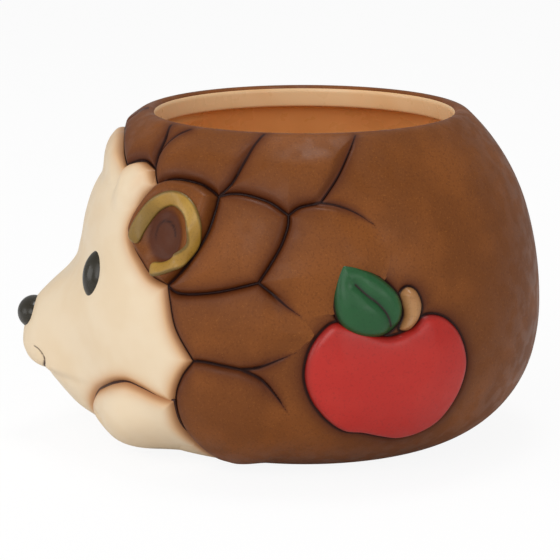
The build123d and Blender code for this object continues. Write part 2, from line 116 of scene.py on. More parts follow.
lip_radius_at_top = mouth_radius + lip_inner_radius
lip_height = pot_height - lip_outer_radius
collar_height = pot_height - collar_depth
seat_top = belly_height + seat_top_share * (pot_height - belly_height)
lip_lean_angle = degrees(atan2(belly_radius - lip_radius_at_top, lip_height - belly_height))
foot_lean_angle = degrees(atan2(belly_radius - foot_radius, belly_height))
shoulder_start_angle = shoulder_start_share * lip_lean_angle
shoulder_end_angle = shoulder_end_share * lip_lean_angle
corner_start_angle = corner_start_share * foot_lean_angle
start = radians(shoulder_start_angle)
end = radians(shoulder_end_angle)
corner = radians(corner_start_angle)
flank_radius, shoulder_radius = solve_pair(
    cos(start) - 1, cos(end) - cos(start),
    sin(start), sin(end) - sin(start),
    lip_radius_at_top - belly_radius + lip_outer_radius * cos(end),
    lip_height - belly_height + lip_outer_radius * sin(end))
lower_radius, corner_radius = solve_pair(
    1 - cos(corner), cos(corner),
    sin(corner), 1 - sin(corner),
    belly_radius - foot_radius,
    belly_height)
base_arc = ((foot_radius, corner_radius), corner_radius)
lower_arc = ((belly_radius - lower_radius, belly_height), lower_radius)
flank_arc = ((belly_radius - flank_radius, belly_height), flank_radius)
shoulder_arc = ((flank_arc[0][0] + (flank_radius - shoulder_radius) * cos(start),
                 flank_arc[0][1] + (flank_radius - shoulder_radius) * sin(start)), shoulder_radius)
lip_arc = ((lip_radius_at_top, lip_height), lip_outer_radius)
rounding_arc = ((lip_radius_at_top, pot_height - lip_inner_radius), lip_inner_radius)


def arc_points(arc, first, last, inset=0.0, step=row_step):
    """Rows (radius, height, tilt of the outward normal) along a profile arc between two angles."""
    (centre_radius, centre_height), radius = arc
    reach = radius - inset
    count = max(2, int(abs(radians(last - first)) * abs(reach) / step)) + 1
    angles = np.radians(np.linspace(first, last, count))
    return np.stack([centre_radius + reach * np.cos(angles),
                     centre_height + reach * np.sin(angles), angles], axis=1)


outer_rows = np.concatenate([
    arc_points(base_arc, -90, -corner_start_angle),
    arc_points(lower_arc, -corner_start_angle, 0)[1:],
    arc_points(flank_arc, 0, shoulder_start_angle)[1:],
    arc_points(shoulder_arc, shoulder_start_angle, shoulder_end_angle)[1:],
    arc_points(lip_arc, shoulder_end_angle, 90)[1:]])
row_elevation = np.degrees(np.arctan2(outer_rows[:, 1] - belly_height, outer_rows[:, 0]))
belly_middle = np.array([0, 0, belly_height])
row_reach = np.hypot(outer_rows[:, 0], outer_rows[:, 1] - belly_height)


def coat_radius(height):
    """Radius of the vessel's outside at a height."""
    return np.interp(height, outer_rows[:, 1], outer_rows[:, 0])


def turned(azimuth, radius, level):
    """Points at a radius from the axis, and at a level."""
    around = np.radians(azimuth)
    return np.stack([radius * np.sin(around), -radius * np.cos(around), level], axis=-1)


def coat_point(azimuth, elevation, height=0.0):
    """Points over the vessel's outside, a height above it."""
    reach = np.interp(elevation, row_elevation, row_reach)
    tilt = np.interp(elevation, row_elevation, outer_rows[:, 2])
    up = np.radians(elevation)
    radius = reach * np.cos(up) + height * np.cos(tilt)
    return turned(azimuth, radius, belly_height + reach * np.sin(up) + height * np.sin(tilt))


def direction(azimuth, elevation):
    """Unit vectors from the middle of the belly."""
    up = np.radians(elevation)
    return turned(azimuth, np.cos(up), np.sin(up))


def place_of(points):
    """Azimuth and elevation of points or directions."""
    points = np.asarray(points, float)
    azimuth = np.degrees(np.arctan2(points[..., 0], -points[..., 1]))
    elevation = np.degrees(np.arctan2(points[..., 2], np.hypot(points[..., 0], points[..., 1])))
    return azimuth, elevation


def smooth(value, start=0.0, over=1.0):
    """Smooth step: 0 up to a start, and 1 from there on after a stretch."""
    value = np.clip((value - start) / over, 0, 1)
    return value * value * (3 - 2 * value)


def falloff(gap, width, power=2):
    """1 where there is no gap, and less and less beyond a width."""
    return np.exp(-(gap / width) ** power)


def swell(gap, rise, width, power):
    """Height that grows with the distance from an edge, up to a rise."""
    return rise * (1 - falloff(gap, width, power))


def fading(gap, most, width, power=2):
    """Depth or shade that is at its most on a line, and fades beside it."""
    return most * falloff(gap, width, power)


# Seams

# Lines on the left side, through measured places. Each has its strength at both
# ends: 0 is no edge at all, where a piece runs smoothly into the coat.
seams = {
    "parting": (1, 1, [(0.3, 51.2), (0.3, 48), (0.3, 44.6)]),
    "brow_hem": (1, 1, [(0.3, 44.6), (9, 44), (18, 41.8), (28.6, 37.8)]),
    "brow_lock": (1, 1, [(28.6, 37.8), (31.6, 39.3), (36.5, 40.1), (42.4, 38.7)]),
    "brow_side": (1, 1, [(42.4, 38.7), (40.4, 42.6), (39.2, 46), (36.6, 50.2)]),
    "brow_rim": (0, 0, [(36.6, 50.2), (18, 51), (0.3, 51.2)]),
    "crown_lock": (1, 1, [(46.0, 35.0), (44, 36.8), (42.4, 38.7)]),
    "crown_front": (1, 0.7, [(42.4, 38.7), (41.2, 42), (41.6, 45.3), (43.6, 47.8), (47.5, 49.8)]),
    "crown_rim": (0, 0, [(47.5, 49.8), (60, 50.6), (75.8, 50.3)]),
    "ear_crest": (1, 1, [(46.0, 35.0), (48.6, 36.5), (53, 37.3), (59.5, 36.9), (63.5, 35.7),
                         (66.4, 34.3)]),
    "crown_rear": (1, 0.8, [(66.4, 34.3), (69.3, 37.4), (71.4, 42), (73.4, 46.8), (75.8, 50.3)]),
    "shoulder_crest": (1, 1, [(66.4, 34.3), (69.5, 35.1), (74, 35.1), (80.5, 33.6), (85.6, 30.8)]),
    "rear_hem": (1, 1, [(85.6, 30.8), (88.5, 32.6), (93.8, 33.6)]),
    "rear_side": (0.8, 0.5, [(93.8, 33.6), (98.7, 39.2), (102.9, 44.8), (107, 50)]),
    "rear_rim": (0, 0, [(107, 50), (91, 50.6), (75.8, 50.3)]),
    "back_crest": (0.8, 0, [(93.8, 33.6), (98, 32.9), (103, 31), (109, 27)]),
    "back_fade": (0, 0, [(109, 27), (111, 21), (108, 15), (99, 9.5), (90.2, 7.4)]),
    "shoulder_rear": (1, 1, [(85.6, 30.8), (85.5, 28.2), (84, 24), (81.6, 19.8), (78.9, 15.6)]),
    "shoulder_hem": (1, 1, [(55.8, 13.2), (58.5, 11.9), (63, 12), (70, 13.2), (78.9, 15.6)]),
    "ear_back": (1, 1, [(66.4, 34.3), (66.2, 31), (65, 25.8), (62, 20.3), (58.8, 16.3), (55.8, 13.2)]),
    "cheek_crest": (1, 0, [(78.9, 15.6), (82.3, 13.2), (86, 10.2), (90.2, 7.4)]),
    "cheek_fade": (0, 0, [(90.2, 7.4), (92, 4.2), (89, 0.6)]),
    "cheek_front": (1, 1, [(55.8, 13.2), (56.7, 9.7), (58.6, 3.4), (63.2, -3.5)]),
    "chest_crest": (1, 1, [(63.2, -3.5), (66, -3.4), (70.5, -3.9), (75, -4.5)]),
    "cheek_hem": (1, 0, [(75, -4.5), (78.8, -3.9), (83.6, -1.9), (89, 0.6)]),
    "chest_side": (1, 0, [(75, -4.5), (79.5, -6.6), (83, -10.6), (86.8, -17)]),
    "chest_fade": (0, 0, [(86.8, -17), (88, -25), (84, -34), (76, -42), (66, -46), (60.5, -44)]),
    "chest_front": (1, 1, [(63.2, -3.5), (59.6, -8), (57, -14), (56.6, -22), (58.3, -31), (60.5, -44)]),
    "ear_front": (1, 1, [(46.0, 35.0), (43.4, 31.5), (41.2, 27), (40.8, 23.6), (43.2, 20.4),
                         (46.6, 17.6), (50.5, 14.8), (55.8, 13.2)]),
}

# Quill plates: seams round each, a minus for one that is walked backwards, and the place
# that their mesh spreads from
plates = {
    "brow_plate": (["parting", "brow_hem", "brow_lock", "brow_side", "brow_rim"], (19, 46)),
    "crown_plate": (["-crown_lock", "ear_crest", "crown_rear", "-crown_rim", "-crown_front"], (58, 43)),
    "crown_rear_plate": (["-crown_rear", "shoulder_crest", "rear_hem", "rear_side", "rear_rim"],
                         (84, 41)),
    "shoulder_plate": (["shoulder_crest", "shoulder_rear", "-shoulder_hem", "-ear_back"], (72, 24)),
    "back_plate": (["rear_hem", "back_crest", "back_fade", "-cheek_crest", "-shoulder_rear"], (93, 21)),
    "cheek_plate": (["shoulder_hem", "cheek_crest", "cheek_fade", "-cheek_hem", "-chest_crest",
                     "-cheek_front"], (71, 5)),
    "chest_plate": (["chest_crest", "chest_side", "chest_fade", "-chest_front"], (70, -20)),
}
ear_seams = ["ear_crest", "ear_back", "-ear_front"]
face_seams = ["parting", "brow_hem", "brow_lock", "-crown_lock", "ear_front", "cheek_front",
              "chest_front"]


def curve_stretches(knots, step=seam_step, surface=coat_point):
    """Smooth curve through places on a surface, sampled evenly. Each stretch between two knots
    is a list of places that leaves out its last knot."""
    knots = np.array(knots, float)
    padded = np.concatenate([[2 * knots[0] - knots[1]], knots, [2 * knots[-1] - knots[-2]]])
    stretches = []
    for i in range(len(knots) - 1):
        a, b, c, d = padded[i:i + 4]
        length = np.linalg.norm(surface(*b) - surface(*c))
        t = np.linspace(0, 1, max(2, int(length / step)), endpoint=False)[:, None]
        stretches.append(0.5 * (2 * b + (c - a) * t + (2 * a - 5 * b + 4 * c - d) * t ** 2
                                + (3 * b - a - 3 * c + d) * t ** 3))
    return stretches


def curve_through(knots, step=seam_step, surface=coat_point):
    """The stretches of such a curve, joined."""
    return np.concatenate(curve_stretches(knots, step, surface))


def closed_curve(knots):
    """Smooth closed outline through places, all of it a real edge."""
    overlap = 2
    stretches = curve_stretches(knots[-overlap:] + knots + knots[:overlap])
    curve = np.concatenate(stretches[overlap:overlap + len(knots)])
    return np.column_stack([curve, np.ones(len(curve))])


def seam_curve(name):
    """Sampled seam: rows of azimuth, elevation and strength."""
    backwards = name.startswith("-")
    first, last, knots = seams[name.lstrip("-")]
    curve = np.concatenate([curve_through(knots), [knots[-1]]])
    along = np.linspace(0, 1, len(curve))
    strength = first + (last - first) * smooth(along, steady_share, 1 - steady_share)
    rows = np.column_stack([curve, strength])
    return rows[::-1] if backwards else rows


def outline_of(names):
    """Closed outline from seams, without the repeated corners."""
    return np.concatenate([seam_curve(name)[:-1] for name in names])


class Chart:
    """Flat map about a place on the belly, in which straight lines are great circles."""

    least_depth = 0.05

    def __init__(self, azimuth, elevation):
        self.normal = direction(azimuth, elevation)
        self.across = np.array([cos(radians(azimuth)), sin(radians(azimuth)), 0])
        self.up = np.cross(self.normal, self.across)
        self.reach = float(np.linalg.norm(coat_point(azimuth, elevation) - belly_middle))

    def flat(self, azimuth, elevation):
        """Flat spots of places, and no number for what is too far round."""
        rays = direction(azimuth, elevation)
        depth = rays @ self.normal
        depth = np.where(depth > self.least_depth, depth, np.nan)
        return np.stack([rays @ self.across / depth, rays @ self.up / depth], axis=-1) * self.reach

    def place(self, spots):
        """Places of flat spots."""
        aside = spots[..., :1] * self.across + spots[..., 1:] * self.up
        return place_of(self.normal + aside / self.reach)


def inside(spots, polygon):
    """Which flat spots lie inside a closed polygon."""
    result = np.zeros(len(spots), bool)
    x, y = spots[:, 0], spots[:, 1]
    with np.errstate(invalid="ignore", divide="ignore"):
        for (ax, ay), (bx, by) in zip(polygon, np.roll(polygon, -1, axis=0)):
            crosses = (ay > y) != (by > y)
            result ^= crosses & (x < (bx - ax) * (y - ay) / (by - ay) + ax)
    return result


def nearest(points, samples):
    """Distance from each point to the nearest sample."""
    tree = KDTree(len(samples))
    for index, sample in enumerate(samples):
        tree.insert(sample, index)
    tree.balance()
    return np.array([tree.find(point)[2] for point in points])


# Meshes

def add_mesh(name, shape, material, nodes, mirrored=False):
    """Object from a shape, riding on the pot and standing for CAD nodes. A shape has points in
    millimetres, faces, and values at the points for the paint."""
    points, faces, attributes = shape
    points = np.array(points, float)
    if mirrored:
        points[:, 0] *= -1
    points = points * millimetre + [0, axis_y, 0]
    mesh = bpy.data.meshes.new(name)
    mesh.from_pydata(points.tolist(), [], [list(face) for face in faces])
    for key, values in attributes.items():
        layer = mesh.attributes.new(key, "FLOAT", "POINT")
        layer.data.foreach_set("value", np.asarray(values, np.float32))
    mesh.materials.append(material)
    work = bmesh.new()
    work.from_mesh(mesh)
    bmesh.ops.recalc_face_normals(work, faces=work.faces)
    work.to_mesh(mesh)
    work.free()
    mesh.polygons.foreach_set("use_smooth", [True] * len(mesh.polygons))
    mesh.update()
    piece = bpy.data.objects.new(name, mesh)
    bpy.context.collection.objects.link(piece)
    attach(piece, "root")
    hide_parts(*nodes)
    return piece


def add_pair(name, shape, material):
    """A shape on the left side, and the same one mirrored on the right side."""
    for side in ("left", "right"):
        node = f"{name}_{side}"
        add_mesh(f"{node}_glazed", shape, material, [node], side == "right")


def grid_faces(rows, columns, closed=False):
    """Quads of a grid whose points are stored row by row."""
    last = columns if closed else columns - 1
    return [(r * columns + c, r * columns + (c + 1) % columns,
             (r + 1) * columns + (c + 1) % columns, (r + 1) * columns + c)
            for r in range(rows - 1) for c in range(last)]


def spread_mesh(outline, centre, height_at, surface=coat_point):
    """A closed pillow over a surface. Rings run from the centre to the outline, then down a
    skirt and back to the centre. height_at takes places and returns heights and attributes."""
    chart = Chart(*centre)
    rim = chart.flat(outline[:, 0], outline[:, 1])
    count = len(rim)
    middle_spot = [[0, 0]]

    def rings(shares):
        return (rim[None] * np.array(shares)[:, None, None]).reshape(-1, 2)

    shares = 1 - (1 - np.linspace(0, 1, ring_count + 1)[1:]) ** ring_bias
    azimuth, elevation = chart.place(np.concatenate([middle_spot, rings(shares)]))
    height, attributes = height_at(azimuth, elevation)
    top = surface(azimuth, elevation, height)
    azimuth, elevation = chart.place(np.concatenate([rings((1,) + under_shares), middle_spot]))
    low = surface(azimuth, elevation, -skirt_depth)
    points = np.concatenate([top, low])
    faces = [(0, 1 + (i + 1) % count, 1 + i) for i in range(count)]
    faces += [tuple(1 + v for v in face)
              for face in grid_faces(len(shares) + len(under_shares) + 1, count, True)]
    last = len(points) - 1
    faces += [(last, last - count + i, last - count + (i + 1) % count) for i in range(count)]
    for key, values in attributes.items():
        attributes[key] = np.concatenate([values, np.full(len(low), values[-1])])
    return points, faces, attributes


def edge_distances(outline, azimuth, elevation, batch=2000, least_strength=0.001):
    """Distance to the edges that are real, and to those where a piece fades out."""
    points = coat_point(azimuth, elevation)
    samples = coat_point(outline[:, 0], outline[:, 1])
    strength = outline[:, 2]
    real = np.empty(len(points))
    fade = np.empty(len(points))
    for first in range(0, len(points), batch):
        part = slice(first, first + batch)
        gaps = np.linalg.norm(points[part, None] - samples[None], axis=2)
        real[part] = (gaps / np.maximum(strength, least_strength)).min(axis=1)
        fade[part] = (gaps / np.maximum(1 - strength, least_strength)).min(axis=1)
    return real, fade


def edge_paint(gap, groove=groove_width, spray=airbrush_width, more_groove_and_shade=0, more_spray_and_shade=0, share=1):
    """Values for the paint beside an edge: its dark groove and the brown sprayed along it, and
    more where that is asked for: a midrib on the leaf, and painted shade on the apple and in the ears'
    bowls."""
    return {"groove": np.maximum(falloff(gap, groove), more_groove_and_shade),
            "airbrush": np.maximum(fading(gap, share, spray, 1), more_spray_and_shade)}


def plate_height(outline):
    """Height of a quill plate: rounded edge, soft dome, and no edge where it fades out."""
    def height_at(azimuth, elevation):
        real, fade = edge_distances(outline, azimuth, elevation)
        height = -groove_depth + swell(real, groove_depth + edge_rise, edge_width, edge_power)
        height = height + swell(real, dome_rise, dome_width, dome_power)
        return height * smooth(fade, 0, fade_width) - faded_sink, edge_paint(real)
    return height_at


# Materials

def srgb(red, green, blue):
    """Linear colour from an 8 bit one."""
    def linear(value):
        value /= 255
        return value / 12.92 if value <= 0.04045 else ((value + 0.055) / 1.055) ** 2.4
    return (linear(red), linear(green), linear(blue), 1)


class Glaze:
    """A glazed material that is painted step by step over a first colour. Sizes of grains are
    in millimetres, and an amount is 1 where a colour covers what is below it."""

    bump_height = 0.15

    def __init__(self, name, colour, roughness, specular):
        self.material = bpy.data.materials.new(name)
        self.material.use_nodes = True
        self.nodes = self.material.node_tree.nodes
        self.links = self.material.node_tree.links
        self.shader = self.nodes["Principled BSDF"]
        self.shader.inputs["Roughness"].default_value = roughness
        self.shader.inputs["Specular IOR Level"].default_value = specular
        self.position = self.nodes.new("ShaderNodeNewGeometry").outputs["Position"]
        first = self.nodes.new("ShaderNodeRGB")
        first.outputs[0].default_value = colour
        self.colour = first.outputs[0]

    def noise(self, size, detail=3.0, low=0.35, high=0.65):
        """Noise whose grains are about a size, stretched to fill 0 to 1."""
        texture = self.nodes.new("ShaderNodeTexNoise")
        texture.inputs["Scale"].default_value = 1 / (size * millimetre)
        texture.inputs["Detail"].default_value = detail
        self.links.new(self.position, texture.inputs["Vector"])
        return self.ramp(texture.outputs["Fac"], low, high)

    def ramp(self, value, low, high, to_low=0.0, to_high=1.0):
        """Smooth step between two values, to two others."""
        node = self.nodes.new("ShaderNodeMapRange")
        node.interpolation_type = "SMOOTHSTEP"
        ends = {"From Min": low, "From Max": high, "To Min": to_low, "To Max": to_high}
        for key, number in ends.items():
            node.inputs[key].default_value = number
        self.links.new(value, node.inputs["Value"])
        return node.outputs["Result"]

    def attribute(self, name):
        """Value that a mesh holds for the paint."""
        node = self.nodes.new("ShaderNodeAttribute")
        node.attribute_name = name
        return node.outputs["Fac"]

    def paint(self, colour, amount, share=1.0):
        """Lays a colour over what is there, by a share of an amount from 0 to 1."""
        product = self.nodes.new("ShaderNodeMath")
        product.operation = "MULTIPLY"
        self.links.new(amount, product.inputs[0])
        product.inputs[1].default_value = share
        mix = self.nodes.new("ShaderNodeMix")
        mix.data_type = "RGBA"
        self.links.new(product.outputs[0], mix.inputs["Factor"])
        self.links.new(self.colour, mix.inputs["A"])
        mix.inputs["B"].default_value = colour
        self.colour = mix.outputs["Result"]

    def speckle(self, colour, share, size, detail, low, high):
        """Lays a colour over the grains of a noise."""
        self.paint(colour, self.noise(size, detail, low, high), share)

    def shade(self, colour, share, name, low, high):
        """Lays a colour where a value of the mesh rises."""
        self.paint(colour, self.ramp(self.attribute(name), low, high), share)

    def rough(self, size, low, high):
        """Roughness that varies between two values."""
        self.links.new(self.ramp(self.noise(size), 0, 1, low, high), self.shader.inputs["Roughness"])

    def finish(self, size, strength):
        """Fine bump, and the painted colour on the shader."""
        self.links.new(self.colour, self.shader.inputs["Base Color"])
        node = self.nodes.new("ShaderNodeBump")
        node.inputs["Strength"].default_value = strength
        node.inputs["Distance"].default_value = self.bump_height * millimetre
        self.links.new(self.noise(size, detail=2.0, low=0.2, high=0.8), node.inputs["Height"])
        self.links.new(node.outputs["Normal"], self.shader.inputs["Normal"])
        return self.material


def make_coat_glaze():
    """Airbrushed brown: warm speckle over dark brown, maroon in the grooves, and the same browns as
    painted shade in the ears' bowls.
    """
    glaze = Glaze("brown_coat_glaze", srgb(117, 65, 25), roughness=0.46, specular=0.18)
    glaze.speckle(srgb(140, 80, 32), 0.6, size=26, detail=2, low=0.40, high=0.70)
    glaze.speckle(srgb(92, 48, 18), 0.4, size=0.9, detail=4, low=0.50, high=0.68)
    glaze.speckle(srgb(168, 104, 46), 0.3, size=0.7, detail=3, low=0.58, high=0.72)
    # Brown sprayed beside the edges; with the maroon below, also painted shade in the ears' bowls
    glaze.shade(srgb(74, 30, 12), 0.8, "airbrush", low=0.10, high=1.0)
    glaze.shade(srgb(40, 12, 6), 1.0, "groove", low=0.15, high=0.85)
    glaze.rough(size=7, low=0.38, high=0.52)
    return glaze.finish(size=1.4, strength=0.10)


def make_cream_glaze():
    """Cream, sprayed with brown beside the seams."""
    glaze = Glaze("cream_face_glaze", srgb(236, 215, 184), roughness=0.42, specular=0.35)
    glaze.speckle(srgb(229, 203, 166), 0.5, size=18, detail=2, low=0.35, high=0.7)
    glaze.shade(srgb(208, 156, 104), 0.9, "airbrush", low=0.08, high=0.8)
    glaze.shade(srgb(150, 86, 40), 0.85, "airbrush", low=0.5, high=1.0)
    glaze.shade(srgb(58, 24, 10), 1.0, "groove", low=0.25, high=0.9)
    glaze.rough(size=9, low=0.34, high=0.46)
    return glaze.finish(size=1.6, strength=0.06)


def make_plain_glaze(name, colour, dark, light, roughness, grain=1.0):
    """One colour, with light clouds, dark grains and darker edges, and painted shade where a mesh asks
    for it, as on the apple's upper part and the gold bead's arm towards the face.
    """
    glaze = Glaze(name, colour, roughness, specular=0.4)
    glaze.speckle(light, 0.45, size=14, detail=2, low=0.45, high=0.75)
    glaze.speckle(dark, 0.25, size=grain, detail=3, low=0.52, high=0.72)
    # Darker edges, and painted shade where the mesh asks for it
    glaze.shade(dark, 0.8, "airbrush", low=0.2, high=1.0)
    glaze.shade(srgb(34, 12, 8), 1.0, "groove", low=0.2, high=0.9)
    glaze.rough(size=6, low=roughness - 0.05, high=roughness + 0.07)
    return glaze.finish(size=1.2, strength=0.05)


def make_inside_glaze():
    """Warm ochre, made lighter as painted light inside the pot, paler on the collar, partly as painted
    light, and brown at the ledge below it as painted shade.
    """
    # The first ochre is made lighter, as painted light inside the pot
    glaze = Glaze("inside_glaze", srgb(246, 190, 122), roughness=0.34, specular=0.4)
    # Paler collar, partly its glaze and partly painted light on the lit band
    glaze.paint(srgb(236, 198, 150), glaze.attribute("collar"))
    glaze.speckle(srgb(222, 160, 92), 0.4, size=30, detail=2, low=0.45, high=0.75)
    # Brown at the ledge as painted shade below the collar
    glaze.paint(srgb(160, 100, 48), glaze.attribute("ledge"), 0.5)
    glaze.rough(size=12, low=0.26, high=0.36)
    return glaze.finish(size=2.0, strength=0.05)


def make_clay():
    """Fired clay without a glaze."""
    glaze = Glaze("bare_foot_clay", srgb(206, 184, 156), roughness=0.8, specular=0.5)
    glaze.speckle(srgb(178, 152, 122), 0.6, size=0.7, detail=4, low=0.45, high=0.7)
    return glaze.finish(size=0.6, strength=0.3)


coat_glaze = make_coat_glaze()
cream_glaze = make_cream_glaze()
inside_glaze = make_inside_glaze()
foot_clay = make_clay()
black_glaze = make_plain_glaze(
    "black_glaze", srgb(44, 40, 30), srgb(26, 22, 16), srgb(60, 55, 42), 0.28)
gold_glaze = make_plain_glaze(
    "gold_lustre_glaze", srgb(164, 124, 48), srgb(84, 66, 22), srgb(186, 148, 66), 0.36, 0.8)
red_glaze = make_plain_glaze(
    "red_apple_glaze", srgb(184, 34, 24), srgb(112, 16, 12), srgb(192, 46, 34), 0.36)
green_glaze = make_plain_glaze(
    "green_leaf_glaze", srgb(26, 82, 40), srgb(12, 44, 24), srgb(52, 104, 62), 0.36, 0.9)
stem_glaze = make_plain_glaze(
    "stem_glaze", srgb(168, 118, 70), srgb(108, 66, 32), srgb(196, 150, 102), 0.36)


# Quill plates

plate_outlines = {name: outline_of(names) for name, (names, _) in plates.items()}


def make_plates():
    for name, (_, centre) in plates.items():
        outline = plate_outlines[name]
        shape = spread_mesh(outline, centre, plate_height(outline))
        add_pair(name, shape, coat_glaze)


# Relief on the left flank

apple_outline = closed_curve([
    (96.8, 7), (93.2, 4.6), (90.4, 0), (89.5, -6), (91.2, -12), (95.1, -17.6), (99.6, -21.2),
    (104.5, -22.2), (109.5, -23.9), (115, -25.3), (121, -24.3), (126.2, -21), (129.6, -14.5),
    (131.2, -7.5), (130.3, -2), (127.6, 3), (123.4, 6.4), (118.6, 7.2), (114.8, 4.6),
    (109, 3.2), (102, 5.6)])
leaf_outline = closed_curve([
    (97.8, 20.2), (96.5, 17), (96.1, 12), (96.8, 8), (99, 5), (103, 3.2), (107.6, 3.2),
    (111.2, 5.2), (112.7, 9), (111.4, 13), (107.6, 16.7), (103.2, 19.1), (100, 20.3)])
midrib = curve_through([(101.2, 15.2), (103.6, 12.9), (106.2, 10.8), (108.3, 8.2), (109.6, 5.2)])
stem_outline = closed_curve([
    (112.2, 12.6), (114.2, 14.1), (116.7, 13), (118, 9.6), (117, 6.2), (114.4, 3.9),
    (111.8, 4.4), (112.9, 7.6), (112.6, 10.2)])

# An edge or a dome has its rise, width and power, a dent or a spray its most, width and power,
# paint the widths of its groove and its spray, and a step its start and its length.
apple_edge = (2.8, 1.4, 1.3)
apple_dome = (2.4, 14.0, 1.5)
apple_base = -1.0
apple_paint = (0.7, 2.8)
# Painted shade on the apple's upper part: its most, then the elevation where it starts and its stretch
apple_shade = 0.42
apple_shade_step = (-8.0, 12.0)
leaf_edge = (3.4, 1.5, 1.3)
leaf_dome = (2.6, 7.0, 1.6)
leaf_base = 0.2
leaf_paint = (0.7, 2.2)
midrib_dent = (2.2, 2.4, 1.3)
midrib_groove = 0.5
midrib_spray = (0.8, 1.6, 1)
stem_edge = (4.4, 1.9, 1.5)
stem_base = -0.6
stem_paint = (0.6, 1.4)


def apple_height(azimuth, elevation):
    real = edge_distances(apple_outline, azimuth, elevation)[0]
    height = apple_base + swell(real, *apple_edge) + swell(real, *apple_dome)
    # The upper part of the apple is darker as painted shade
    shade = apple_shade * smooth(elevation, *apple_shade_step)
    return height, edge_paint(real, *apple_paint, more_spray_and_shade=shade)


def leaf_height(azimuth, elevation):
    real = edge_distances(leaf_outline, azimuth, elevation)[0]
    gap = nearest(coat_point(azimuth, elevation), coat_point(*midrib.T))
    height = leaf_base + swell(real, *leaf_edge) + swell(real, *leaf_dome) - fading(gap, *midrib_dent)
    return height, edge_paint(real, *leaf_paint, falloff(gap, midrib_groove), fading(gap, *midrib_spray))


def stem_height(azimuth, elevation):
    real = edge_distances(stem_outline, azimuth, elevation)[0]
    return stem_base + swell(real, *stem_edge), edge_paint(real, *stem_paint)


relief = {
    "apple": (apple_outline, (110, -9), apple_height, "red_glaze", red_glaze),
    "apple_leaf": (leaf_outline, (104, 11.5), leaf_height, "green_glaze", green_glaze),
    "apple_stem": (stem_outline, (115.2, 9), stem_height, "stem_glaze", stem_glaze),
}


def make_relief():
    for name, (outline, centre, height_at, slot, glaze) in relief.items():
        add_mesh(f"{name}_glazed", spread_mesh(outline, centre, height_at), glaze, [name])


# Ear

ear_outline = outline_of(ear_seams)
ear_centre = (53.5, 25)
ear_rise = 5.8
ear_front_share = 0.72
ear_high_angle = 20.0
ear_gap_angle = 229.0
ear_gap = (0.8, 30.0)
ear_edge = (1.9, 1.7)
ear_spray = 3.0
ear_spray_share = 0.8

# The steps in the bowl and the place of its oval line are shares of its radii
bowl_place = (53.4, 24.2)
bowl_radii = (9.0, 11.4)
bowl_lean = 18.0
bowl_floor = 0.3
bowl_step = (0.72, 0.78)
bowl_shade_step = (0.72, 0.5)
# Painted shade in the bowl, as a share of the groove's maroon
bowl_painted_shade = 0.3
oval_share = 0.52
oval_line = (0.4, 0.045)
oval_angle = 50.0
oval_reach = 180.0
oval_fade = 60.0

gold_knots = [(45.2, 21.4), (45.7, 23.8), (46.4, 26.2), (47.6, 28.6), (49.4, 30.5), (52.0, 31.7),
              (55.2, 32.1), (58.4, 31.5), (61.0, 29.9), (62.6, 27.6), (63.0, 25.0), (62.2, 22.4),
              (60.2, 20.0), (57.4, 18.1), (54.2, 16.8), (50.8, 16.5)]
gold_half_width = 3.1
gold_rise = 1.1
gold_step = 0.5
gold_sides = 20
gold_power = 0.7
gold_side_from = 0.45
gold_side_dark = 0.95
gold_end_dark = 0.9
gold_end_power = 1.5
# Painted shade on the bead's arm towards the face, from an azimuth over a stretch
gold_front_azimuth = 56.0
gold_front_over = 10.0
gold_front_painted_shade = 0.7


def ear_height(azimuth, elevation):
    """Height of the ear: a roll round a bowl that is open towards the face, low on its front. Its paint
    darkens the bowl, partly the ear's own dark brown and partly painted shade.
    """
    real = edge_distances(ear_outline, azimuth, elevation)[0]
    spots = Chart(*bowl_place).flat(azimuth, elevation)
    turn = radians(bowl_lean)
    x = spots[..., 0] * cos(turn) + spots[..., 1] * sin(turn)
    y = -spots[..., 0] * sin(turn) + spots[..., 1] * cos(turn)
    hollow = np.hypot(x / bowl_radii[0], y / bowl_radii[1])
    angle = np.degrees(np.arctan2(spots[..., 1], spots[..., 0])) % 360
    rear = 0.5 + 0.5 * np.cos(np.radians(angle - ear_high_angle))
    crest = ear_rise * (ear_front_share + (1 - ear_front_share) * rear)
    crest = crest * (1 - fading(angle - ear_gap_angle, *ear_gap))
    height = bowl_floor + (crest - bowl_floor) * smooth(hollow, *bowl_step)
    height = -groove_depth + swell(real, height + groove_depth, *ear_edge)
    # The bowl darkens inwards: its own dark brown, and painted shade in the hollow
    shade = 1 - smooth(hollow, *bowl_shade_step)
    oval = fading(hollow - oval_share, *oval_line)
    oval = oval * smooth((oval_reach - np.abs(angle - oval_angle)) / oval_fade)
    return height, edge_paint(real, groove_width, ear_spray, shade * (bowl_painted_shade + oval), shade,
                              ear_spray_share)


def on_ear(azimuth, elevation):
    """Points on the ear."""
    return coat_point(azimuth, elevation, ear_height(azimuth, elevation)[0])


